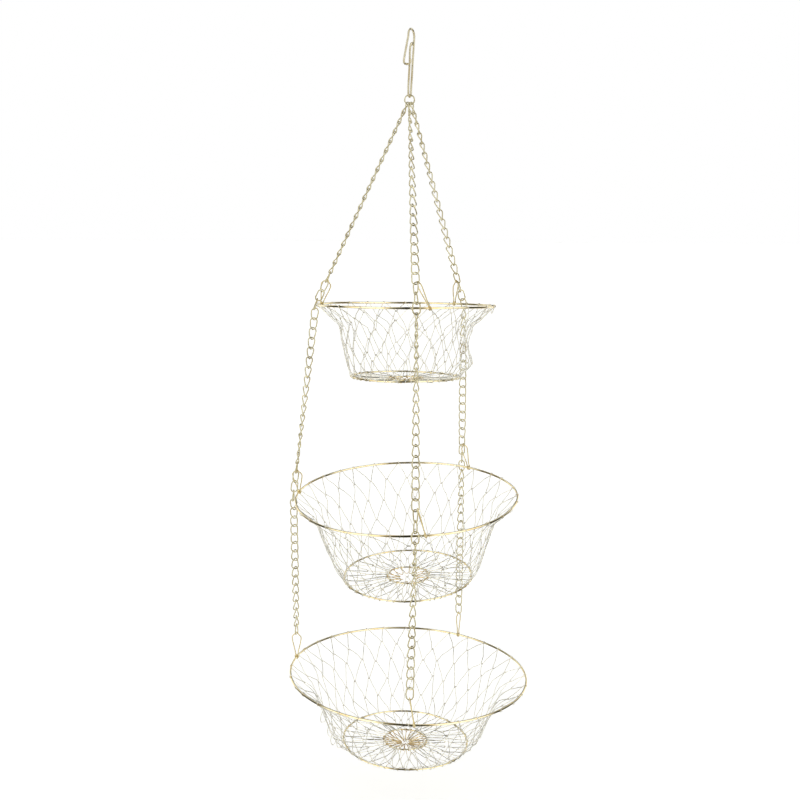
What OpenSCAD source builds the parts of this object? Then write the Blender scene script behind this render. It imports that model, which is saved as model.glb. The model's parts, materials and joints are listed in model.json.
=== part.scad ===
// Three-tier hanging wire basket: a wire snap hook, a jump ring, three chains,
// nine wire clips and three round net baskets with loose, liftable bases.
// Millimetres, +Z up. The origin is the inside top of the hook's bend.
// The baskets' front faces -Y; azimuths are measured from the front towards +X.

/* [Hook] */
// Diameter of the hook's wire
hook_wire = 2.2; // [1.8:0.1:2.6]
// Turn of the hook's plane about the vertical
hook_yaw = 65; // [0:5:180]

/* [Jump ring] */
// Outer diameter of the jump ring
jump_ring_diameter = 11.9; // [11.5:0.1:12.5]
// Diameter of the jump ring's wire
jump_ring_wire = 1.5; // [1.3:0.1:1.6]

/* [Chain] */
// Outside length of one chain link
link_length = 14.7; // [14.4:0.1:15]
// Outside width of one chain link
link_width = 9; // [8.6:0.1:9.4]
// Diameter of the chain's wire
chain_wire = 1.4; // [1.2:0.1:1.5]
// Longest distance allowed from one link's centre to the next
longest_pitch = 11.3; // [11:0.1:11.5]

/* [Clips] */
// Length of a clip, from the rim's centre to its top bight
clip_length = 30.5; // [30:0.5:33]
// Widest part of a clip
clip_width = 12.5; // [10:0.5:14]
// Diameter of the clips' wire
clip_wire = 1.3; // [1:0.1:1.4]

/* [Basket wires] */
// Diameter of the rim rings' wire
rim_wire = 2.4; // [2:0.1:3]
// Diameter of the base rings' wire
base_wire = 2; // [1.6:0.1:2.4]
// Diameter of the small centre rings' wire
centre_wire = 1.5; // [1.2:0.1:2]
// Thickness of the band that each wire net fills
net_depth = 1.8; // [1.4:0.1:2.4]

/* [Top basket] */
// Rim diameter, centre to centre of the wire
top_rim_diameter = 195; // [190:1:200]
// Base ring diameter, centre to centre of the wire
top_base_diameter = 120; // [114:1:124]
// Depth from the rim's plane to the base ring's plane
top_depth = 79; // [74:1:84]
// Drop of the rim's centre below the hook's bend
top_drop = 293; // [288:1:300]

/* [Middle basket] */
// Rim diameter, centre to centre of the wire
middle_rim_diameter = 252; // [246:1:256]
// Base ring diameter, centre to centre of the wire
middle_base_diameter = 147; // [140:1:152]
// Depth from the rim's plane to the base ring's plane
middle_depth = 96; // [90:1:100]
// Drop of the rim's centre below the hook's bend
middle_drop = 510; // [505:1:515]

/* [Bottom basket] */
// Rim diameter, centre to centre of the wire
bottom_rim_diameter = 274; // [268:1:280]
// Base ring diameter, centre to centre of the wire
bottom_base_diameter = 146; // [140:1:152]
// Depth from the rim's plane to the base ring's plane
bottom_depth = 84; // [78:1:90]
// Drop of the rim's centre below the hook's bend
bottom_drop = 721; // [716:1:726]

/* [Hidden] */

brass = "#d8b768";
pale_brass = "#e6cf8e";
wire_sides = 8;
ring_facets = 96;
wire_facets = 20;

// Tiers and chains are numbered, for the lists below
top = 0;
middle = 1;
bottom = 2;
left = 0;
front = 1;
back = 2;

rim_radius = [top_rim_diameter, middle_rim_diameter, bottom_rim_diameter] / 2;
base_radius = [top_base_diameter, middle_base_diameter, bottom_base_diameter] / 2;
depth = [top_depth, middle_depth, bottom_depth];

// How far each basket hangs out of level: nose up or down, then side to side
tilt = [-2.6, 4.7, -0.4];
roll = [0.2, -1.5, 2];

// Side net outline: [share of the rim's radius, share of the depth]
side_outline = [
    [[0.95, 0.06], [0.76, 0.28], [0.735, 0.52], [0.68, 0.8], [0.63, 0.97]],
    [[0.955, 0.055], [0.83, 0.22], [0.757, 0.5], [0.667, 0.85], [0.598, 0.975]],
    [[0.95, 0.06], [0.805, 0.25], [0.73, 0.5], [0.644, 0.85], [0.55, 0.97]]
];
floor_sag = [6, 4, 4];
centre_radius = [20, 24, 25];
centre_ring_gap = 0.2;

// The hook's outline in its own plane: [across, up] from the bend's inside top
bend_radius = 7.5;
bend_end = 171;
shank_points = [[6, -18], [4, -32], [2.4, -46], [0.7, -58]];
eye_centre = [-3.3, -66.3];
eye_radius = 3.2;
return_points = [[-6.5, -58], [-4.8, -44], [-3.6, -32], [-3.2, -22], [-1.4, -16], [2.6, -12.6]];
gate_gap = 0.5;
gate_points = [[-7.9, -8], [-9.3, -14], [-10.9, -21], [-12.9, -30], [-13.1, -33.4], [-11.6, -35.4]];
catch_points = [[-8, -35.8], [-3, -35.3], [0.6, -34.6], [3, -33], [3.9, -29.8]];
catch_offset = 2.6;
running_gap = 0.25;

hook_across = [cos(hook_yaw), sin(hook_yaw), 0];
hook_normal = [-sin(hook_yaw), cos(hook_yaw), 0];
eye_bottom = eye_centre.y - eye_radius;
jump_radius = (jump_ring_diameter - jump_ring_wire) / 2;
jump_drop = eye_bottom + (hook_wire + jump_ring_wire) / 2 + running_gap - jump_radius;
jump_centre = hook_across * eye_centre.x + [0, 0, jump_drop];

// How far each basket hangs to the side of the jump ring
tier_shift = [-2.4, -0.8, 2.8];
drop = [top_drop, middle_drop, bottom_drop];
tier_centre = [for (t = [top:bottom]) [jump_centre.x + tier_shift[t], jump_centre.y, -drop[t]]];

// Where each chain passes each rim, and to which side its clips lean
chain_azimuth = [[-96, -94, -103], [6, 4, 2.5], [138, 148, 152]];
clip_side = [[-1, -1], [1, 1], [1, -1]];
last_clip_lean = [0, -5, 0];
clip_reach = 16;
pass_gap = 3.8;
clip_bight_angle = 80;
clip_eye_gap = 0.6;
links_above_rim = 3;
half_turn = 180;

// Share of the upper stretch in the line of the link at a rim, where the chain bends
bend_share = 1.4;

// Where the three first links sit round the jump ring, from its lowest point
hold_angle = [-31, 0, 31];
hold_gap = 0.8;
hold_radius = jump_radius - (jump_ring_wire + chain_wire) / 2 - hold_gap;
link_reach = (link_length - chain_wire) / 2;
bend_line = (link_width - chain_wire) / 2;
straight_half = (link_length - link_width) / 2;
wires_half = (chain_wire + clip_wire) / 2;

// Play between a clip's top and its link, which a turning basket takes up
clip_play = 0.4;
last_clip_play = [1.1, 0.55, 0.55];
hold_in_bight = bend_line - wires_half - clip_play;

function unit(v) = v / norm(v);
function turn_x(p, a) = [p.x, p.y * cos(a) - p.z * sin(a), p.y * sin(a) + p.z * cos(a)];
function turn_y(p, a) = [p.x * cos(a) + p.z * sin(a), p.y, p.z * cos(a) - p.x * sin(a)];
function outward(azimuth) = [sin(azimuth), -cos(azimuth), 0];
function along(azimuth) = [cos(azimuth), sin(azimuth), 0];
function in_tier(t, p) = tier_centre[t] + turn_y(turn_x(p, tilt[t]), roll[t]);
function rim_point(t, azimuth, extra = 0) = in_tier(t, outward(azimuth) * (rim_radius[t] + extra));

// The knots of one chain: its first link, the two rims it passes, its last link
function hold_point(c) = jump_centre
    + hold_radius * [sin(hold_angle[c]), 0, -cos(hold_angle[c])];
function pass_point(t, c) = rim_point(t, chain_azimuth[c][t], pass_gap);
function first_link(c) = hold_point(c) + link_reach * unit(pass_point(top, c) - hold_point(c));
function last_clip_top(c) = rim_point(bottom, chain_azimuth[c][bottom])
    + last_clip_lean[c] * along(chain_azimuth[c][bottom])
    + [0, 0, sqrt(clip_length * clip_length - last_clip_lean[c] * last_clip_lean[c])];
function last_link(c) = last_clip_top(c)
    + (link_reach - wires_half - last_clip_play[c])
        * unit(pass_point(middle, c) - last_clip_top(c));
function knot(c, k) = k == 0 ? first_link(c)
    : k == 3 ? last_link(c) : pass_point(k - 1, c);
function link_count(c, k) = ceil(norm(knot(c, k + 1) - knot(c, k)) / longest_pitch);
function link_centre(c, k, i) = knot(c, k)
    + (knot(c, k + 1) - knot(c, k)) * i / link_count(c, k);
function stretch_line(c, k) = unit(knot(c, k + 1) - knot(c, k));
function link_line(c, k, i) = (k < 2 && i == link_count(c, k))
    ? unit(bend_share * stretch_line(c, k) + stretch_line(c, k + 1)) : stretch_line(c, k);

// Each link turns by nearly a quarter turn from the one before it, so that the
// link that a clip holds, and the link against the rim, lie flat to the rim
function even_roll(start, steps, i) = start
    + i * (half_turn * round((90 * steps + start) / half_turn) - start) / steps;
function flat_normal(c, k, line) = unit(cross(line, along(chain_azimuth[c][k])));
function first_roll(c) = let (
        line = stretch_line(c, 0),
        flat = flat_normal(c, 0, line),
        ring_line = [cos(hold_angle[c]), 0, sin(hold_angle[c])]
    ) atan2(ring_line * cross(line, flat), ring_line * flat);
function link_roll(c, k, i) = let (
        start = k == 0 ? first_roll(c) : 0,
        steps = link_count(c, k) - (k < 2 ? links_above_rim : 0)
    ) i <= steps ? even_roll(start, steps, i)
        : even_roll(start, steps, steps)
            + (i - steps) * clip_side[c][k] * half_turn / links_above_rim;
function link_normal(c, k, i) = let (
        line = link_line(c, k, i),
        flat = flat_normal(c, k, line),
        turned = link_roll(c, k, i)
    ) flat * cos(turned) + cross(line, flat) * sin(turned);

// A clip's top lies in the link three above the rim, beside the next link
function clip_link(c, t) = link_count(c, t) - links_above_rim;
function clip_top(c, t) = t == bottom ? last_clip_top(c)
    : link_centre(c, t, clip_link(c, t))
        + (straight_half + hold_in_bight * cos(clip_bight_angle)) * stretch_line(c, t)
        + hold_in_bight * sin(clip_bight_angle) * clip_side[c][t] * along(chain_azimuth[c][t]);
function clip_miss(c, t, azimuth) = norm(clip_top(c, t) - rim_point(t, azimuth)) - clip_length;
function find_azimuth(c, t, near, far, steps) = let (mid = (near + far) / 2)
    steps == 0 ? mid
    : clip_miss(c, t, mid) > 0 ? find_azimuth(c, t, near, mid, steps - 1)
    : find_azimuth(c, t, mid, far, steps - 1);
function clip_azimuth(c, t) = t == bottom ? chain_azimuth[c][t]
    : find_azimuth(c, t, chain_azimuth[c][t], chain_azimuth[c][t] + clip_reach * clip_side[c][t], 16);

// Points round an arc in a plane, from one angle to another
function arc_points(centre, radius, from, to, steps) = [
    for (i = [0:steps]) let (a = from + (to - from) * i / steps)
        centre + radius * [cos(a), sin(a)]
];

// One ring of points round a path, and the closed tube that joins them
function path_line(path, i, closed) = let (n = len(path))
    closed ? unit(path[(i + 1) % n] - path[(i + n - 1) % n])
    : unit(path[min(i + 1, n - 1)] - path[max(i - 1, 0)]);
function ring_points(path, i, closed, normal, radius) = let (
        line = path_line(path, i, closed),
        side = unit(cross(line, normal)),
        up = cross(side, line)
    ) [for (k = [0:wire_sides - 1]) path[i]
        + radius * (cos(360 * k / wire_sides) * up + sin(360 * k / wire_sides) * side)];
function tube_index(i, k, rings) = (i % rings) * wire_sides + (k % wire_sides);

module wire(path, diameter, normal, closed = false) {
    rings = len(path);
    spans = closed ? rings : rings - 1;
    points = [for (i = [0:rings - 1]) each ring_points(path, i, closed, normal, diameter / 2)];
    walls = [
        for (i = [0:spans - 1], k = [0:wire_sides - 1]) each [
            [tube_index(i, k, rings), tube_index(i + 1, k, rings), tube_index(i + 1, k + 1, rings)],
            [tube_index(i, k, rings), tube_index(i + 1, k + 1, rings), tube_index(i, k + 1, rings)]
        ]
    ];
    start_cap = [for (k = [0:wire_sides - 1]) k];
    end_cap = [for (k = [wire_sides - 1:-1:0]) (rings - 1) * wire_sides + k];
    polyhedron(points, closed ? walls : concat(walls, [start_cap, end_cap]));
}

// Puts children that stand along +Z, flat in the XZ plane, onto a line and a normal
module set_along(centre, line, normal) {
    across = cross(normal, line);
    multmatrix([
        [across.x, normal.x, line.x, centre.x],
        [across.y, normal.y, line.y, centre.y],
        [across.z, normal.z, line.z, centre.z]
    ]) children();
}

module wire_ring(radius, diameter) {
    rotate_extrude($fn = ring_facets)
        translate([radius, 0])
            circle(d = diameter, $fn = wire_facets);
}

module place_tier(t) {
    translate(tier_centre[t])
        rotate([tilt[t], roll[t], 0])
            children();
}

// One oval chain link, standing along Z and flat in the XZ plane
module chain_link() {
    for (s = [-1, 1]) {
        translate([s * bend_line, 0, -straight_half])
            cylinder(d = chain_wire, h = 2 * straight_half, $fn = wire_facets);
        translate([0, 0, s * straight_half])
            rotate([s * 90, 0, 0])
                rotate_extrude(angle = 180, $fn = 2 * wire_facets)
                    translate([bend_line, 0])
                        circle(d = chain_wire, $fn = wire_facets);
    }
}

// The links of chain c on stretch k, from link number first to link number last
module chain_run(c, k, first, last) {
    color(pale_brass)
        for (i = [first:last])
            set_along(link_centre(c, k, i), link_line(c, k, i), link_normal(c, k, i))
                chain_link();
}

module chain_top(c) {
    chain_run(c, 0, 0, link_count(c, 0));
}

module chain_middle(c) {
    chain_run(c, 1, 1, clip_link(c, middle));
}

module chain_middle_rim(c) {
    chain_run(c, 1, clip_link(c, middle) + 1, link_count(c, 1));
}

module chain_bottom(c) {
    chain_run(c, 2, 1, link_count(c, 2));
}

// The clip's outline round the rim: a small eye, two spreading legs and a roof
function clip_outline() = let (
        eye = rim_wire / 2 + clip_wire / 2 + clip_eye_gap,
        shoulder = (clip_width - clip_wire) / 2,
        roof = clip_length - 4.6
    ) concat(
        arc_points([0, 0], eye, -220, 40, 9),
        [[eye * 0.75, 4.2], [shoulder * 0.62, 12], [shoulder * 0.9, 19]],
        arc_points([shoulder - 1.6, roof - 1.2], 1.6, 0, 60, 3),
        arc_points([0, clip_length - 2.2], 2.2, 55, 125, 4),
        arc_points([1.6 - shoulder, roof - 1.2], 1.6, 120, 180, 3),
        [[-shoulder * 0.9, 19], [-shoulder * 0.62, 12], [-eye * 0.75, 4.2]]
    );

module rim_clip(c, t) {
    foot = rim_point(t, clip_azimuth(c, t));
    line = unit(clip_top(c, t) - foot);
    across = unit(cross(along(clip_azimuth(c, t)), line));
    path = [for (p = clip_outline()) foot + p.x * across + p.y * line];
    color(brass)
        wire(path, clip_wire, cross(across, line), closed = true);
}

function hook_point(p, offset = 0) = p.x * hook_across + offset * hook_normal + [0, 0, p.y];

// The fixed part of the hook: return leg, eye, shank and bend, one bent wire
module ceiling_hook() {
    return_leg = [for (i = [len(return_points) - 1:-1:0]) return_points[i]];
    shank = [for (i = [len(shank_points) - 1:-1:0]) shank_points[i]];
    bend = arc_points([0, hook_wire / 2 - bend_radius], bend_radius, 0, bend_end, 10);
    outline = concat(return_leg, arc_points(eye_centre, eye_radius, 180, 360, 8), shank, bend);
    color(brass)
        wire([for (p = outline) hook_point(p)], hook_wire, hook_normal);
}

// The hook's springy free arm, which crosses to the shank and catches on it
module hook_gate() {
    steps = len(gate_points) - 1;
    arm = [for (i = [0:steps]) hook_point(gate_points[i], catch_offset * i / steps)];
    catch = [for (p = catch_points) hook_point(p, catch_offset)];
    color(brass)
        wire(concat(arm, catch), hook_wire, hook_normal);
}

module jump_ring() {
    color(brass)
        translate(jump_centre)
            rotate([90, 0, 0])
                wire_ring(jump_radius, jump_ring_wire);
}

module rim(t) {
    color(brass)
        place_tier(t)
            wire_ring(rim_radius[t], rim_wire);
}

// The band that the diamond net of the side fills, open at the top and bottom
module side_net(t) {
    line = [for (p = side_outline[t]) [p.x * rim_radius[t], -p.y * depth[t]]];
    inner = [for (i = [len(line) - 1:-1:0]) line[i] - [net_depth / 2, 0]];
    outer = [for (p = line) p + [net_depth / 2, 0]];
    color(pale_brass)
        place_tier(t)
            rotate_extrude($fn = ring_facets)
                polygon(concat(outer, inner));
}

module base_ring(t) {
    color(brass)
        place_tier(t)
            translate([0, 0, -depth[t]])
                wire_ring(base_radius[t], base_wire);
}

// The shallow dish that the floor's looped wires fill inside the base ring
module floor_net(t) {
    edge = base_radius[t] - base_wire / 2 - centre_ring_gap;
    half = net_depth / 2;
    color(pale_brass)
        place_tier(t)
            translate([0, 0, -depth[t]])
                rotate_extrude($fn = ring_facets)
                    polygon([[0, -floor_sag[t] - half], [edge, -half], [edge, half], [0, half - floor_sag[t]]]);
}

module centre_ring(t) {
    edge = base_radius[t] - base_wire / 2 - centre_ring_gap;
    sag = floor_sag[t] * (1 - centre_radius[t] / edge);
    lift = (net_depth + centre_wire) / 2 + centre_ring_gap;
    color(brass)
        place_tier(t)
            translate([0, 0, lift - sag - depth[t]])
                wire_ring(centre_radius[t], centre_wire);
}

ceiling_hook();
hook_gate();
jump_ring();
chain_top(left);  // left_chain_top
chain_top(front);  // front_chain_top
chain_top(back);  // back_chain_top
chain_middle(left);  // left_chain_middle
chain_middle(front);  // front_chain_middle
chain_middle(back);  // back_chain_middle
chain_middle_rim(left);  // left_chain_middle_rim
chain_middle_rim(front);  // front_chain_middle_rim
chain_middle_rim(back);  // back_chain_middle_rim
chain_bottom(left);  // left_chain_bottom
chain_bottom(front);  // front_chain_bottom
chain_bottom(back);  // back_chain_bottom
rim_clip(left, top);  // top_clip_left
rim_clip(front, top);  // top_clip_front
rim_clip(back, top);  // top_clip_back
rim_clip(left, middle);  // middle_clip_left
rim_clip(front, middle);  // middle_clip_front
rim_clip(back, middle);  // middle_clip_back
rim_clip(left, bottom);  // bottom_clip_left
rim_clip(front, bottom);  // bottom_clip_front
rim_clip(back, bottom);  // bottom_clip_back
rim(top);  // top_rim
side_net(top);  // top_side_net
base_ring(top);  // top_base_ring
floor_net(top);  // top_floor_net
centre_ring(top);  // top_centre_ring
rim(middle);  // middle_rim
side_net(middle);  // middle_side_net
base_ring(middle);  // middle_base_ring
floor_net(middle);  // middle_floor_net
centre_ring(middle);  // middle_centre_ring
rim(bottom);  // bottom_rim
side_net(bottom);  // bottom_side_net
base_ring(bottom);  // bottom_base_ring
floor_net(bottom);  // bottom_floor_net
centre_ring(bottom);  // bottom_centre_ring
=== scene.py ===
"""Looks for the three-tier hanging wire basket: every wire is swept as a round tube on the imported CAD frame.

All shapes are in metres in the CAD frame. Places come from the CAD nodes' own meshes and boxes; the small
numbers below are wire sizes, counts and the amounts by which hand-bent wire strays from true.
"""
import bpy
import json
import math
import numpy as np
from mathutils import Matrix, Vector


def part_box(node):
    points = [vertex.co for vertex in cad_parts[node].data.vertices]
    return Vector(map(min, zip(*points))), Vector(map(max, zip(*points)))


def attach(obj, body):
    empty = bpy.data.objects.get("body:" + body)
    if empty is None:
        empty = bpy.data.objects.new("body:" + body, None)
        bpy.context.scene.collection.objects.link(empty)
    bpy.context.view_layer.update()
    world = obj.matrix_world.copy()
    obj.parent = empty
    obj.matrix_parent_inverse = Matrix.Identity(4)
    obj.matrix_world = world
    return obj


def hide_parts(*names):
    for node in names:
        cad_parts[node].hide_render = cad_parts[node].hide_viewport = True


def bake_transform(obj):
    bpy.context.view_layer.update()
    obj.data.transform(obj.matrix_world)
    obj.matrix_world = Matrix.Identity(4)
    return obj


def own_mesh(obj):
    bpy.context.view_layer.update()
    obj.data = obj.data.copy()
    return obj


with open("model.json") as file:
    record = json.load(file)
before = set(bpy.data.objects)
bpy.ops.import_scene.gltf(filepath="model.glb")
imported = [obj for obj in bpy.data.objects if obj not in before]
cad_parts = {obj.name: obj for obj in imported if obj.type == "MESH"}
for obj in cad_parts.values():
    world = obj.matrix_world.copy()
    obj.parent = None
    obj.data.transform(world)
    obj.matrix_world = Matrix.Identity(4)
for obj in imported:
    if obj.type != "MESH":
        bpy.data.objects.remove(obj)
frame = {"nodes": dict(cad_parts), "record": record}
nodes = frame["nodes"]
BODY_OF = {held: body for body, parts in frame["record"]["behaviour"]["bodies"].items() for held in parts}
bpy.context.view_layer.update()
MM = 0.001
TIERS = ("top", "middle", "bottom")
CHAINS = ("left", "front", "back")
UP = np.array((0.0, 0.0, 1.0))


# ---------------------------------------------------------------- vectors
def unit(v):
    v = np.asarray(v, float)
    return v / np.linalg.norm(v)


def verts_of(name):
    mesh = nodes[name].data
    co = np.zeros(len(mesh.vertices) * 3)
    mesh.vertices.foreach_get("co", co)
    return co.reshape(-1, 3)


def spline(points, per_span=6, closed=False):
    """Points along a Catmull-Rom curve through the given ones."""
    p = np.asarray(points, float)
    n = len(p)
    spans = n if closed else n - 1
    out = []
    for i in range(spans):
        if closed:
            a, b, c, d = (p[(i + k) % n] for k in (-1, 0, 1, 2))
        else:
            a, b, c, d = p[max(i - 1, 0)], p[i], p[i + 1], p[min(i + 2, n - 1)]
        for j in range(per_span):
            t = j / per_span
            out.append(0.5 * ((2 * b) + (c - a) * t + (2 * a - 5 * b + 4 * c - d) * t * t
                              + (3 * b - a - 3 * c + d) * t * t * t))
    if not closed:
        out.append(p[-1])
    return np.array(out)


def arc(centre, radius, start, stop, steps):
    return [np.array(centre) + radius * np.array((math.cos(a), math.sin(a)))
            for a in np.radians(np.linspace(start, stop, steps))]


# ---------------------------------------------------------------- tubes
class Tubes:
    """Collects round wires into one mesh."""

    def __init__(self):
        self.verts, self.faces, self.count = [], [], 0

    def add(self, path, radius, closed=False, sides=8, ends="round"):
        p = np.asarray(path, float)
        n = len(p)
        if closed:
            line = np.roll(p, -1, 0) - np.roll(p, 1, 0)
        else:
            line = np.empty_like(p)
            line[1:-1] = p[2:] - p[:-2]
            line[0], line[-1] = p[1] - p[0], p[-1] - p[-2]
        line /= np.maximum(np.linalg.norm(line, axis=1), 1e-12)[:, None]
        side = np.empty_like(p)
        guide = np.array((0.0, 0.0, 1.0)) if abs(line[0][2]) < 0.8 else np.array((1.0, 0.0, 0.0))
        s = unit(np.cross(line[0], guide))
        side[0] = s
        for i in range(1, n):
            s = s - line[i] * np.dot(s, line[i])
            s = s / np.linalg.norm(s)
            side[i] = s
        if closed:
            last = s - line[0] * np.dot(s, line[0])
            last /= np.linalg.norm(last)
            turn = math.atan2(np.dot(np.cross(last, side[0]), line[0]), np.dot(last, side[0]))
            a = np.linspace(0, turn, n, endpoint=False)[:, None]
            side = side * np.cos(a) + np.cross(line, side) * np.sin(a)
        other = np.cross(line, side)
        r = np.broadcast_to(np.asarray(radius, float), (n,)).copy()
        if not closed and ends == "round":
            cap = [0.0, 0.55, 0.87]
            head = np.array([p[0] - line[0] * r[0] * (1 - c) * 0.9 for c in cap])
            tail = np.array([p[-1] + line[-1] * r[-1] * (1 - c) * 0.9 for c in reversed(cap)])
            p = np.vstack([head, p, tail])
            side = np.vstack([np.repeat(side[:1], 3, 0), side, np.repeat(side[-1:], 3, 0)])
            other = np.vstack([np.repeat(other[:1], 3, 0), other, np.repeat(other[-1:], 3, 0)])
            r = np.concatenate([r[0] * np.array([0.35, 0.8, 0.96]), r, r[-1] * np.array([0.96, 0.8, 0.35])])
            n = len(p)
        a = np.arange(sides) * 2 * math.pi / sides
        ring = (p[:, None, :] + r[:, None, None] * (np.cos(a)[None, :, None] * side[:, None, :]
                                                    + np.sin(a)[None, :, None] * other[:, None, :]))
        self.verts.append(ring.reshape(-1, 3))
        k = np.arange(sides)
        k2 = (k + 1) % sides
        spans = n if closed else n - 1
        i = np.arange(spans)[:, None]
        j = (i + 1) % n
        quads = np.stack([i * sides + k, i * sides + k2, j * sides + k2, j * sides + k], -1).reshape(-1, 4)
        self.faces.append((quads + self.count).tolist())
        if not closed:
            self.faces.append([[self.count + q for q in range(sides - 1, -1, -1)],
                               [self.count + (n - 1) * sides + q for q in range(sides)]])
        self.count += n * sides
        return self

    def build(self, name, material, body, replaced=(), slot=None):
        mesh = bpy.data.meshes.new(name)
        faces = [f for group in self.faces for f in group]
        mesh.from_pydata(np.vstack(self.verts).tolist(), [], faces)
        mesh.polygons.foreach_set("use_smooth", [True] * len(mesh.polygons))
        mesh.update()
        mesh.materials.append(material)
        piece = bpy.data.objects.new(name, mesh)
        bpy.context.scene.collection.objects.link(piece)
        if body:
            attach(piece, body)
        if replaced:
            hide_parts(*replaced)
        return piece


# ---------------------------------------------------------------- materials
def brass(name, pale, deep, dark, rough=(0.10, 0.22), grain=900.0, bump=0.05, wear=0.5):
    """Polished brass plating: colour drifts from pale to deep, darkens in patches, and has fine drawing marks."""
    m = bpy.data.materials.new(name)
    m.use_nodes = True
    t = m.node_tree
    t.nodes.clear()
    n, link = t.nodes.new, t.links.new
    out = n("ShaderNodeOutputMaterial")
    shader = n("ShaderNodeBsdfPrincipled")
    shader.inputs["Metallic"].default_value = 1.0
    link(shader.outputs[0], out.inputs[0])
    where = n("ShaderNodeTexCoord")

    def noise(scale, detail, distortion=0.0):
        x = n("ShaderNodeTexNoise")
        x.inputs["Scale"].default_value = scale
        x.inputs["Detail"].default_value = detail
        x.inputs["Distortion"].default_value = distortion
        link(where.outputs["Object"], x.inputs["Vector"])
        return x.outputs["Fac"]

    def ramp(source, stops):
        x = n("ShaderNodeValToRGB")
        link(source, x.inputs["Fac"])
        e = x.color_ramp.elements
        e[0].position, e[0].color = stops[0][0], (*stops[0][1], 1)
        e[1].position, e[1].color = stops[-1][0], (*stops[-1][1], 1)
        for pos, col in stops[1:-1]:
            k = e.new(pos)
            k.color = (*col, 1)
        return x.outputs["Color"]

    middling = tuple(0.5 * (a + b) for a, b in zip(pale, deep))
    tone = ramp(noise(55, 3, 0.4), [(0.34, deep), (0.52, pale), (0.70, middling)])
    spots = ramp(noise(420, 4, 0.8), [(0.60, (0, 0, 0)), (0.74, (wear, wear, wear))])
    mix = n("ShaderNodeMix")
    mix.data_type = "RGBA"
    link(spots, mix.inputs["Factor"])
    link(tone, mix.inputs["A"])
    mix.inputs["B"].default_value = (*dark, 1)
    link(mix.outputs["Result"], shader.inputs["Base Color"])
    span = n("ShaderNodeMapRange")
    link(noise(260, 5), span.inputs["Value"])
    span.inputs["From Min"].default_value, span.inputs["From Max"].default_value = 0.3, 0.7
    span.inputs["To Min"].default_value, span.inputs["To Max"].default_value = rough
    link(span.outputs["Result"], shader.inputs["Roughness"])
    marks = n("ShaderNodeBump")
    marks.inputs["Strength"].default_value = bump
    marks.inputs["Distance"].default_value = 0.0002
    link(noise(grain, 6), marks.inputs["Height"])
    link(marks.outputs["Normal"], shader.inputs["Normal"])
    return m


hook_brass = brass("hook_brass", (0.80, 0.73, 0.53), (0.64, 0.54, 0.34), (0.16, 0.11, 0.05), rough=(0.07, 0.18))
ring_brass = brass("ring_brass", (0.95, 0.86, 0.60), (0.88, 0.72, 0.42), (0.22, 0.12, 0.04), rough=(0.04, 0.12))
chain_brass = brass("chain_brass", (0.80, 0.74, 0.52), (0.60, 0.52, 0.31), (0.14, 0.10, 0.05), rough=(0.06, 0.18))
clip_brass = brass("clip_brass", (0.88, 0.77, 0.48), (0.74, 0.58, 0.30), (0.16, 0.09, 0.03), rough=(0.06, 0.16))
net_brass = brass("net_brass", (0.96, 0.94, 0.87), (0.88, 0.85, 0.76), (0.46, 0.38, 0.26), rough=(0.12, 0.30), wear=0.25)
dull_brass = brass("dull_brass", (0.84, 0.70, 0.44), (0.66, 0.50, 0.28), (0.20, 0.12, 0.05), rough=(0.14, 0.30), wear=0.45)


# ---------------------------------------------------------------- places, from the CAD nodes
class Ring:
    """Centre, axis, radius and wire of a CAD ring node."""

    def __init__(self, name):
        p = verts_of(name)
        mean = p.mean(0)
        axis = np.linalg.svd(p - mean, full_matrices=False)[2][2]
        self.up = axis if axis[2] > 0 else -axis
        self.x = unit(np.array((1.0, 0, 0)) - self.up * self.up[0])
        self.y = np.cross(self.up, self.x)
        q = (p - mean) @ np.array([self.x, self.y, self.up]).T
        low, high = q.min(0), q.max(0)
        mid = (low + high) / 2
        self.centre = mean + mid[0] * self.x + mid[1] * self.y + mid[2] * self.up
        self.wire = high[2] - low[2]
        self.radius = (high[0] - low[0] + high[1] - low[1]) / 4 - self.wire / 2


class Tier:
    """One basket's frame: local z is down from the rim's plane along its axis."""

    def __init__(self, name):
        self.name = name
        self.rim, self.base, self.core = (Ring(f"{name}_{k}") for k in ("rim", "base_ring", "centre_ring"))
        self.centre, self.x, self.y, self.up = self.rim.centre, self.rim.x, self.rim.y, self.rim.up
        self.depth = -self.local(self.base.centre)[2]
        band = self.local(verts_of(f"{name}_side_net"))
        r = np.hypot(band[:, 0], band[:, 1])
        levels = sorted(set(np.round(band[:, 2] / MM / 0.5) * 0.5), reverse=True)
        self.outline = []
        for z in levels:
            near = np.abs(band[:, 2] / MM - z) < 0.3
            self.outline.append(((r[near].min() + r[near].max()) / 2, z * MM))
        self.wall = [(self.rim.radius, 0.0)] + self.outline + [(self.base.radius, -self.depth)]

    def local(self, p):
        return (np.asarray(p) - self.centre) @ np.array([self.x, self.y, self.up]).T

    def place(self, r, azimuth, z):
        """A point at that radius, azimuth from the front towards +X, and height over the rim's plane."""
        a = np.asarray(azimuth)
        return (self.centre + np.multiply.outer(r * np.sin(a), self.x) - np.multiply.outer(r * np.cos(a), self.y)
                + np.multiply.outer(z, self.up))


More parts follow.
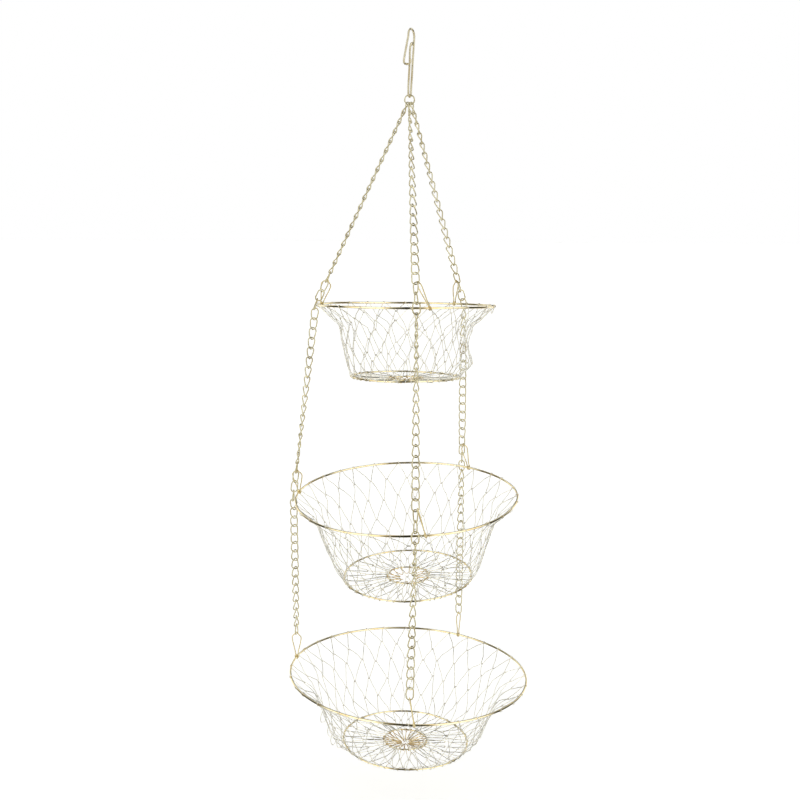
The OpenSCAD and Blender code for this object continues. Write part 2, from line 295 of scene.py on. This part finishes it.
# ---------------------------------------------------------------- hooked zigzag nets
class Skin:
    """A surface of revolution in a tier, from a line of (radius, z) points, measured by length along it."""

    def __init__(self, tier, line, flip=1.0, dent=None):
        self.tier, self.flip, self.dent = tier, flip, dent
        pts = spline(np.array(line), 12)
        step = np.linalg.norm(np.diff(pts, axis=0), axis=1)
        self.s = np.concatenate([[0], np.cumsum(step)])
        self.pts, self.length = pts, self.s[-1]

    def at(self, s):
        """(radius, z) and the unit line and outward normal there."""
        s = float(s)
        c = min(max(s, 0.0), self.length)
        r, z = (np.interp(c, self.s, self.pts[:, k]) for k in (0, 1))
        d = 0.0015
        a, b = max(c - d, 0), min(c + d, self.length)
        t = unit([np.interp(b, self.s, self.pts[:, k]) - np.interp(a, self.s, self.pts[:, k]) for k in (0, 1)])
        n = np.array((-t[1], t[0])) * self.flip
        p = np.array((r, z)) + t * (s - c)
        return p, t, n

    def point(self, s, azimuth, lift=0.0):
        p, t, n = self.at(s)
        q = p + n * (lift + (self.dent(azimuth, s / self.length) if self.dent else 0.0))
        return self.tier.place(q[0], azimuth, q[1])


def net_rows(tubes, skin, count, rows, wire, seed, levels=None, jitter=(0.0013, 0.0016), overlap=0.0014,
             start_ring=None, end_ring=None, parity=0, lean=0.0, stray=None, bow=0.0007):
    """Zigzag wires round a skin, each hooked through the one above it, hung over a ring at either end."""
    rng = np.random.RandomState(seed)
    depth_off = wire * 0.62
    turn_r = 0.00085
    levels = np.linspace(0, skin.length, rows + 1) if levels is None else np.array(levels)
    step = 2 * math.pi / count
    az = np.zeros((rows + 1, count))
    ss = np.zeros((rows + 1, count))
    for k in range(rows + 1):
        inner = 0 < k < rows
        radius = skin.at(levels[k])[0][0]
        az[k] = step * (np.arange(count) + 0.5 * ((k + parity) % 2)) + lean * k * step
        az[k] += rng.normal(0, jitter[0], count) / max(radius, 0.01) * (1.0 if inner else 1.3)
        ss[k] = levels[k] + (rng.normal(0, jitter[1], count) if inner else 0.0)
    out = rng.normal(0, 0.0006, (rows + 1, count))
    out[0] = out[-1] = 0
    if stray:
        for level, index, amount in stray:
            out[level, index % count] += amount

    def around(ring_wire, s, a, end):
        p, t, n = skin.at(s)
        rr = ring_wire / 2 + wire / 2 + 0.00008
        pts = []
        sweep = np.radians(np.linspace(-105, 105, 7)) * (1 if end == 0 else -1)
        along = -t if end == 0 else t
        for j, th in enumerate(sweep):
            q = p + rr * (math.cos(th) * along + math.sin(th) * n)
            u = (j / 6 - 0.5) * 0.0016
            pts.append(skin.tier.place(q[0], a + u / q[0], q[1]))
        return pts

    for k in range(rows):
        path = []
        shift = 1 if (k + parity) % 2 else 0
        for i in range(count):
            j = (i + shift) % count
            wrap = 2 * math.pi if i + shift >= count else 0.0
            a0, s0, o0 = az[k][i], ss[k][i], out[k][i]
            a1, s1, o1 = az[k + 1][j] + wrap, ss[k + 1][j], out[k + 1][j]
            nxt = (i + 1) % count
            a2 = az[k][nxt] + (2 * math.pi if i + 1 >= count else 0.0)
            s2, o2 = ss[k][nxt], out[k][nxt]
            if k == 0 and start_ring:
                path += around(start_ring, s0, a0, 0)
            else:
                r0 = skin.at(s0)[0][0]
                for th in np.radians((200, 235, 270, 305, 340)):
                    u, v = turn_r * math.cos(th), turn_r * (1 + math.sin(th))
                    path.append(skin.point(s0 - overlap / 2 + v, a0 + u / r0,
                                           o0 + depth_off * math.cos(th) / math.cos(math.radians(340))))
            rm = skin.at((s0 + s1) / 2)[0][0]
            for f in (0.33, 0.67):
                b = bow * math.sin(math.pi * f) * (rng.rand() - 0.5) * 2
                path.append(skin.point(s0 + (s1 - s0) * f, a0 + (a1 - a0) * f + b / rm,
                                       depth_off + o0 + (o1 - o0) * f))
            if k == rows - 1 and end_ring:
                path += around(end_ring, s1, a1, 1)
            else:
                r1 = max(skin.at(s1)[0][0], 0.002)
                for th in np.radians((160, 125, 90, 55, 20)):
                    u, v = turn_r * math.cos(th), turn_r * (math.sin(th) - 1)
                    path.append(skin.point(s1 + overlap / 2 + v, a1 + u / r1,
                                           o1 - depth_off * math.cos(th) / math.cos(math.radians(20))))
            for f in (0.33, 0.67):
                b = bow * math.sin(math.pi * f) * (rng.rand() - 0.5) * 2
                path.append(skin.point(s1 + (s2 - s1) * f, a1 + (a2 - a1) * f + b / rm,
                                       -depth_off + o1 + (o2 - o1) * f))
        tubes.add(path, wire / 2, closed=True, sides=7)


# For each net: zigzags round, rows down the side and across the floor, wire, hooks that stray off the wall as
# (level, index, distance), and loose loops that stick out as (azimuth, share of the wall, distance, droop)
NET = {
    "top": dict(count=24, rows=5, floor=1, wire=0.00085, seed=11, parity=0, 
                stray=[(2, 5, 0.003), (4, 14, 0.002)], tails=[(1.45, 0.05, 0.004, 0.003), (1.75, 0.07, 0.003, 0.002)]),
    "middle": dict(count=30, rows=5, floor=2, wire=0.00085, seed=23, parity=1,
                   stray=[(3, 4, 0.002), (1, 20, 0.002)], tails=[]),
    "bottom": dict(count=32, rows=5, floor=2, wire=0.00085, seed=37, parity=0,
                   stray=[(2, 9, 0.002), (3, 27, -0.002)],
                   tails=[(-1.30, 0.55, 0.007, 0.004), (-1.12, 0.62, 0.008, 0.006), (-0.98, 0.72, 0.007, 0.005),
                          (-1.22, 0.80, 0.006, 0.003)]),
}
# Petals inside each centre ring: count, radius of the hole they leave, how far they wander
PETALS = {"top": (18, 0.004, 0.30), "middle": (14, 0.009, 0.04), "bottom": (26, 0.004, 0.06)}


def crushed_side(azimuth, share):
    """The top basket's right side: pushed in halfway down, and bulging out again above the base ring."""
    off = (azimuth - math.pi / 2 + math.pi) % (2 * math.pi) - math.pi
    bulge = 0.0085 * math.exp(-((share - 0.80) / 0.11) ** 2)
    hollow = 0.0045 * math.exp(-((share - 0.5) / 0.13) ** 2)
    return math.exp(-(off / 0.55) ** 2) * (bulge - hollow)


def slack_side(azimuth, share):
    """The lower baskets' nets sag a little unevenly."""
    return 0.0016 * math.sin(3 * azimuth + 1.0) * math.sin(math.pi * share) ** 2


DENT = {"top": crushed_side, "middle": slack_side, "bottom": slack_side}


tiers = {name: Tier(name) for name in TIERS}
for name in TIERS:
    tier, spec = tiers[name], NET[name]
    # rim, base ring and centre ring: bent wire, a little out of true, butt-welded where the ends meet
    for key, ring, body, turns in (("rim", tier.rim, f"{name}_tier", 220), ("base_ring", tier.base, f"{name}_base", 160),
                                   ("centre_ring", tier.core, f"{name}_base", 96)):
        rng = np.random.RandomState(spec["seed"] + turns)
        a = np.linspace(0, 2 * math.pi, turns, endpoint=False)
        stray = sum(rng.normal(0, 0.00016) * np.cos(k * a + rng.rand() * 6.28) for k in range(2, 6))
        rise = sum(rng.normal(0, 0.00014) * np.cos(k * a + rng.rand() * 6.28) for k in range(2, 6))
        z = tier.local(ring.centre)
        weld_at = rng.rand() * 2 * math.pi
        gap = np.abs((a - weld_at + math.pi) % (2 * math.pi) - math.pi) * ring.radius
        r = ring.wire / 2 * (1 + 0.14 * np.exp(-(gap / 0.0011) ** 2))
        path = (ring.centre + np.multiply.outer((ring.radius + stray) * np.cos(a), tier.x)
                + np.multiply.outer((ring.radius + stray) * np.sin(a), tier.y) + np.multiply.outer(rise, tier.up))
        Tubes().add(path, r, closed=True, sides=16).build(f"{name}_{key}_wire", ring_brass, body,
                                                         [f"{name}_{key}"], "ring_wire")
    # side net
    wall = Skin(tier, tier.wall, dent=DENT.get(name))
    side = Tubes()
    net_rows(side, wall, spec["count"], spec["rows"], spec["wire"], spec["seed"],
             start_ring=tier.rim.wire, end_ring=tier.base.wire, parity=spec["parity"],
             jitter=(0.0021, 0.0024), stray=spec["stray"])
    for azimuth, share, size, droop in spec["tails"]:
        where = wall.length * share
        loop = [wall.point(where - 0.004, azimuth, 0.0005),
                wall.point(where + 0.001, azimuth + 0.03, size * 0.8),
                wall.point(where + droop, azimuth + 0.07, size),
                wall.point(where + droop * 0.6, azimuth + 0.11, size * 0.5),
                wall.point(where - 0.003, azimuth + 0.13, -0.0004)]
        side.add(spline(loop, 6), spec["wire"] / 2, sides=7)
    piece = side.build(f"{name}_side_net_wires", net_brass, f"{name}_tier", [f"{name}_side_net"], "net_wire")
    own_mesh(piece)
    # floor net
    dish = tier.local(verts_of(f"{name}_floor_net"))
    rr = np.hypot(dish[:, 0], dish[:, 1])
    sag_z = dish[rr < 0.002][:, 2].mean()
    edge_z = dish[rr > rr.max() - 0.001][:, 2].mean()
    core = tier.local(tier.core.centre)[2]
    edge = tier.base.radius
    line = [(edge, -tier.depth), (edge * 0.7 + tier.core.radius * 0.3, edge_z * 0.7 + core * 0.3 - 0.0004),
            (edge * 0.3 + tier.core.radius * 0.7, edge_z * 0.3 + core * 0.7 - 0.0004), (tier.core.radius, core)]
    floor = Tubes()
    skin = Skin(tier, line, flip=-1.0)
    net_rows(floor, skin, spec["count"], spec["floor"], spec["wire"], spec["seed"] + 5,
             start_ring=tier.base.wire, end_ring=tier.core.wire, jitter=(0.0009, 0.0014),
             parity=(spec["parity"] + spec["rows"] + 1) % 2)
    floor.build(f"{name}_floor_net_wires", net_brass, f"{name}_base", [f"{name}_floor_net"], "net_wire")
    # petals inside the centre ring, crossing and bunching towards the middle
    petals, close, wander = PETALS[name]
    rng = np.random.RandomState(spec["seed"] + 9)
    line = [(tier.core.radius, core), (tier.core.radius * 0.5, (core + sag_z) / 2), (close, sag_z)]
    inner = Skin(tier, line, flip=-1.0)
    path = []
    for i in range(petals):
        a = 2 * math.pi * i / petals
        half = math.pi / petals
        tip = inner.length * (0.86 + 0.14 * rng.rand())
        skew = rng.normal(0, wander)
        width = half * (0.85 + 0.3 * rng.rand())
        for th in np.radians(np.linspace(-100, 100, 6)):
            reach = (tier.core.wire + spec["wire"]) / 2 + 0.0001
            p, t, n = inner.at(0)
            q = p - t * reach * math.cos(th) + n * reach * math.sin(th)
            path.append(tier.place(q[0], a - width * 0.5 + 0.02 * th, q[1]))
        level = 0.0006 * rng.normal() - 0.0006
        path.append(inner.point(inner.length * 0.35, a - width * 0.4 + skew * 0.3, level))
        path.append(inner.point(inner.length * 0.7, a + skew * 0.7, level - 0.0007))
        path.append(inner.point(tip, a + half * 0.6 + skew, level))
        path.append(inner.point(tip, a + half * 1.4 + skew, level + 0.0006))
        path.append(inner.point(inner.length * 0.7, a + half * 1.6 + skew * 0.7, level + 0.0009))
        path.append(inner.point(inner.length * 0.35, a + half * 1.7 + skew * 0.3, level + 0.0006))
    heart = Tubes()
    heart.add(spline(path, 3, closed=True), spec["wire"] / 2, closed=True, sides=7)
    heart.build(f"{name}_floor_petal_wires", dull_brass, f"{name}_base", [], "net_wire")


# ---------------------------------------------------------------- chains
def loose_parts(name):
    """Vertex sets of the separate solids in a CAD node."""
    mesh = nodes[name].data
    co = verts_of(name)
    key = {}
    ids = np.array([key.setdefault(tuple(k), len(key)) for k in np.round(co / 1e-6).astype(np.int64)])
    parent = list(range(len(key)))

    def find(i):
        while parent[i] != i:
            parent[i] = parent[parent[i]]
            i = parent[i]
        return i

    for e in mesh.edges:
        a, b = find(ids[e.vertices[0]]), find(ids[e.vertices[1]])
        if a != b:
            parent[a] = b
    groups = {}
    for i, k in enumerate(ids):
        groups.setdefault(find(k), []).append(i)
    return [co[g] for g in groups.values()]


def link_frames(name):
    """Centre, line (upwards) and normal of each link in a CAD chain node, from the top down."""
    found = []
    for p in loose_parts(name):
        mean = p.mean(0)
        axes = np.linalg.svd(p - mean, full_matrices=False)[2]
        line, normal = axes[0], axes[2]
        line = line if line[2] > 0 else -line
        q = (p - mean) @ np.array([line, np.cross(normal, line), normal]).T
        mid = (q.min(0) + q.max(0)) / 2
        centre = mean + mid @ np.array([line, np.cross(normal, line), normal])
        found.append((centre, line, normal, q.max(0) - q.min(0)))
    found.sort(key=lambda f: -f[0][2])
    return found


def link_path(centre, line, normal, length, width, wire, twist, steps=10):
    """An oval link's centre line, twisted evenly about its length."""
    across = np.cross(normal, line)
    r = (width - wire) / 2
    half = (length - wire) / 2 - r
    pts = []
    for a in np.radians(np.linspace(0, 180, steps)):
        pts.append((r * math.cos(a), half + r * math.sin(a)))
    for f in (0.66, 0.33, 0.0, -0.33, -0.66):
        pts.append((-r, half * f))
    for a in np.radians(np.linspace(180, 360, steps)):
        pts.append((r * math.cos(a), -half + r * math.sin(a)))
    for f in (-0.66, -0.33, 0.0, 0.33, 0.66):
        pts.append((r, half * f))
    reach = half + r
    out = []
    for x, z in pts:
        t = twist * z / reach
        out.append(centre + line * z + (across * math.cos(t) + normal * math.sin(t)) * x)
    return out


CURB_TWIST, PLAIN_TWIST = math.radians(37), math.radians(8)
# How many links at the lower end of each stretch keep the CAD's own turn; None for all of them
KEPT_LINKS = {"top": 4, "middle": 1, "middle_rim": None, "bottom": 1}
for c in CHAINS:
    for part, kept in KEPT_LINKS.items():
        node = f"{c}_chain_{part}"
        tubes = Tubes()
        frames = link_frames(node)
        free = 0 if kept is None else len(frames) - kept
        first, last = frames[0][2], frames[min(free, len(frames) - 1)][2]
        for i, (centre, line, normal, size) in enumerate(frames):
            wire = size[2]
            curb = i < free
            if curb:
                start = unit(first - line * np.dot(first, line))
                end = unit(last - line * np.dot(last, line))
                whole = math.atan2(np.dot(np.cross(start, end), line), np.dot(start, end))
                whole = (whole + math.pi / 2) % math.pi - math.pi / 2
                t = whole * i / max(free, 1)
                normal = start * math.cos(t) + np.cross(line, start) * math.sin(t)
            oval = link_path(centre, line, normal, size[0], size[1], wire, CURB_TWIST if curb else PLAIN_TWIST)
            tubes.add(oval, wire / 2, closed=True, sides=10)
        tubes.build(f"{node}_links", chain_brass, BODY_OF[node], [node], "chain_wire")

# ---------------------------------------------------------------- clips
WRAP_STEPS = 22


def flat_frame(name):
    """Middle, line upwards, across, normal and size of a flat CAD clip."""
    p = verts_of(name)
    mean = p.mean(0)
    line, across, normal = np.linalg.svd(p - mean, full_matrices=False)[2]
    line = line if line[2] > 0 else -line
    across = np.cross(line, normal)
    q = (p - mean) @ np.array([across, normal, line]).T
    mid = (q.min(0) + q.max(0)) / 2
    middle = mean + mid @ np.array([across, normal, line])
    return middle, line, across, normal, q.max(0) - q.min(0)


for t in TIERS:
    rim = tiers[t].rim
    for c in CHAINS:
        name = f"{t}_clip_{c}"
        middle, line, across, normal, size = flat_frame(name)
        wire = size[1]
        eye = (rim.wire + wire) / 2 + 0.00012
        low = -size[2] / 2 + wire / 2 + (eye + 0.0005)
        high = size[2] / 2 - wire / 2
        shoulder = size[0] / 2 - wire / 2
        rise = high - low
        wraps = [(eye * math.cos(a), eye * math.sin(a)) for a in np.radians(np.linspace(-330, 35, WRAP_STEPS))]
        leg = [(eye * 0.9, rise * 0.17), (shoulder * 0.55, rise * 0.36), (shoulder * 0.85, rise * 0.58),
               (shoulder, rise * 0.78), (shoulder * 0.82, rise * 0.855), (shoulder * 0.42, rise * 0.925)]
        half = [(x, y, 0.00068 if k < WRAP_STEPS else 0.0006 * (1 - k / (WRAP_STEPS + len(leg))))
                for k, (x, y) in enumerate(wraps + leg)]
        other = [(-x, y, -z) for x, y, z in reversed(half)]
        outline = half + [(0.0011, rise * 0.985, 0.0), (0.0, rise, 0.0), (-0.0011, rise * 0.985, 0.0)] + other
        foot = middle + line * low
        path = [foot + across * x + line * y + normal * z for x, y, z in outline]
        tubes = Tubes().add(spline(path, 3), wire / 2, sides=10)
        tubes.build(f"{name}_wire", clip_brass, BODY_OF[name], [name], "clip_wire")

# ---------------------------------------------------------------- hook
flat = np.linalg.svd(verts_of("ceiling_hook") - verts_of("ceiling_hook").mean(0), full_matrices=False)[2][2]
flat = unit(flat * np.array((1.0, 1.0, 0.0)))
hook_across = np.cross(flat, UP)
if hook_across[0] < 0:
    flat, hook_across = -flat, -hook_across
through = verts_of("ceiling_hook") @ flat
hook_radius = (through.max() - through.min()) / 2


def in_hook(x, z, off=0.0):
    return (hook_across * x + UP * z + flat * off) * MM


# The hook's outline in its own plane, in millimetres across and up from the bend's inside top
RETURN_LEG = [(-1.4, -16), (-3.2, -22), (-3.6, -32), (-4.8, -44), (-6.5, -58)]
SHANK = [(0.7, -58), (2.4, -46), (4, -32), (6, -18)]
bend_centre = (0.0, hook_radius / MM - 7.5)
bend = arc(bend_centre, 7.5, 0, 168, 14)
eye_arc = arc((-3.3, -66.3), 3.2, 180, 360, 12)
wrap = [in_hook(4.9 + 2.4 * math.cos(a), -14 + 0.28 * a, 2.3 * math.sin(a)) for a in np.linspace(0.6, 3.6, 8)]
steel = wrap + [in_hook(*p) for p in RETURN_LEG + eye_arc + SHANK + bend]
Tubes().add(spline(steel, 4), hook_radius, sides=14).build(
    "ceiling_hook_wire", hook_brass, BODY_OF["ceiling_hook"], ["ceiling_hook"], "hook_wire")
ARM = [(*bend[-1], 0.0), (-7.7, -8, 0.1), (-9.3, -14, 0.6), (-10.9, -21, 1.2), (-12.9, -30, 2.1), (-13.1, -33.4, 2.4),
       (-11.6, -35.4, 2.6), (-8, -35.8, 2.6), (-3, -35.3, 2.6), (0.6, -34.6, 2.6), (3, -33, 2.6), (3.9, -29.8, 2.6)]
arm = Tubes().add(spline([in_hook(*p) for p in ARM], 5), hook_radius, sides=14).build(
    "hook_gate_wire", hook_brass, None, ["hook_gate"], "hook_wire")
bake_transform(arm)

# ---------------------------------------------------------------- jump ring
jump = Ring("jump_ring")
turn = np.linspace(math.radians(4), math.radians(356), 90)
path = jump.centre + jump.radius * (np.multiply.outer(np.cos(turn), jump.x) + np.multiply.outer(np.sin(turn), jump.y))
path = path + np.multiply.outer(np.linspace(-0.0003, 0.0003, 90), jump.up)
Tubes().add(path, jump.wire / 2, sides=14).build(
    "jump_ring_wire", chain_brass, BODY_OF["jump_ring"], ["jump_ring"], "ring_wire")

# ---------------------------------------------------------------- camera
# About 1.18 m in front of the plumb line, a fifth of the way down the set, looking 9 degrees down.
SIZE, FOCAL_PX, CENTRE_PX = 800, 1062.9, (404.43, 393.88)
PITCH, ROLL, YAW = (math.radians(a) for a in (9.10, 0.349, -0.057))
forward = np.array((math.sin(YAW) * math.cos(PITCH), math.cos(YAW) * math.cos(PITCH), -math.sin(PITCH)))
right = np.array((math.cos(YAW), -math.sin(YAW), 0.0))
above = np.cross(right, forward)
right, above = (right * math.cos(ROLL) + above * math.sin(ROLL), above * math.cos(ROLL) - right * math.sin(ROLL))
camera_data = bpy.data.cameras.new("camera")
camera = bpy.data.objects.new("camera", camera_data)
bpy.context.scene.collection.objects.link(camera)
bpy.context.scene.camera = camera
camera_data.sensor_width = 36.0
camera_data.lens = FOCAL_PX / SIZE * camera_data.sensor_width
camera_data.shift_x = (SIZE / 2 - CENTRE_PX[0]) / SIZE
camera_data.shift_y = (CENTRE_PX[1] - SIZE / 2) / SIZE
camera_data.clip_start, camera_data.clip_end = 0.02, 60
place = Matrix([(*row, 0.0) for row in np.array([right, above, -forward]).T] + [(0, 0, 0, 1)])
place.translation = (-0.00382, -1.17962, -0.20383)
camera.matrix_world = place

# ---------------------------------------------------------------- studio
scene = bpy.context.scene
scene.view_settings.view_transform = "Standard"
world = bpy.data.worlds.new("studio")
scene.world = world
world.use_nodes = True
wt = world.node_tree
wt.nodes.clear()
n, link = wt.nodes.new, wt.links.new
w_out = n("ShaderNodeOutputWorld")
seen = n("ShaderNodeBackground")
seen.inputs["Color"].default_value = (1, 1, 1, 1)
seen.inputs["Strength"].default_value = 1.0
lit = n("ShaderNodeBackground")
lit.inputs["Strength"].default_value = 1.0
pick = n("ShaderNodeMixShader")
path = n("ShaderNodeLightPath")
link(path.outputs["Is Camera Ray"], pick.inputs["Fac"])
link(lit.outputs[0], pick.inputs[1])
link(seen.outputs[0], pick.inputs[2])
link(pick.outputs[0], w_out.inputs[0])
where = n("ShaderNodeTexCoord")
split = n("ShaderNodeSeparateXYZ")
link(where.outputs["Generated"], split.inputs[0])
turn = n("ShaderNodeMath")
turn.operation = "ARCTAN2"
link(split.outputs["X"], turn.inputs[0])
link(split.outputs["Y"], turn.inputs[1])
scaled = n("ShaderNodeMapRange")
link(turn.outputs[0], scaled.inputs["Value"])
scaled.inputs["From Min"].default_value, scaled.inputs["From Max"].default_value = -math.pi, math.pi
ramp = n("ShaderNodeValToRGB")
link(scaled.outputs["Result"], ramp.inputs["Fac"])
link(ramp.outputs["Color"], lit.inputs["Color"])
# Light round the horizon, by the angle from +Y towards +X: dark gaps between the soft boxes
BANDS = [(-180, 0.02), (-158, 0.02), (-150, 1.45), (-98, 1.45), (-92, 0.01), (-56, 0.01), (-48, 1.1), (-14, 1.1),
         (-8, 0.02), (12, 0.02), (18, 1.1), (48, 1.1), (56, 0.01), (92, 0.01), (98, 1.45), (150, 1.45),
         (158, 0.02), (180, 0.02)]
elements = ramp.color_ramp.elements
for i, (angle, level) in enumerate(BANDS):
    pos = (angle + 180) / 360
    if i == 0:
        e = elements[0]
    elif i == len(BANDS) - 1:
        e = elements[-1]
    else:
        e = elements.new(pos)
    e.position = pos
    e.color = (level, level, level * 0.97, 1)

# Pale floor below the set: a wide disc, bright enough to meet the white background
rings, spokes = [0.0, 0.4, 1.0, 2.5, 6.0, 14.0, 40.0], 48
floor_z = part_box("bottom_floor_net")[0].z - 0.07
co = [(r * math.cos(k * 2 * math.pi / spokes), r * math.sin(k * 2 * math.pi / spokes), floor_z)
      for r in rings[1:] for k in range(spokes)] + [(0, 0, floor_z)]
faces = [(i * spokes + k, i * spokes + (k + 1) % spokes, (i + 1) * spokes + (k + 1) % spokes, (i + 1) * spokes + k)
         for i in range(len(rings) - 2) for k in range(spokes)]
faces += [(k, (k + 1) % spokes, len(co) - 1) for k in range(spokes)]
mesh = bpy.data.meshes.new("floor")
mesh.from_pydata(co, [], faces)
floor = bpy.data.objects.new("floor", mesh)
scene.collection.objects.link(floor)
paper = bpy.data.materials.new("paper")
paper.use_nodes = True
p = paper.node_tree.nodes["Principled BSDF"]
p.inputs["Base Color"].default_value = (0.90, 0.90, 0.895, 1)
p.inputs["Roughness"].default_value = 0.9
p.inputs["Emission Color"].default_value = (1, 1, 1, 1)
p.inputs["Emission Strength"].default_value = 0.42
mesh.materials.append(paper)
floor.visible_glossy = False
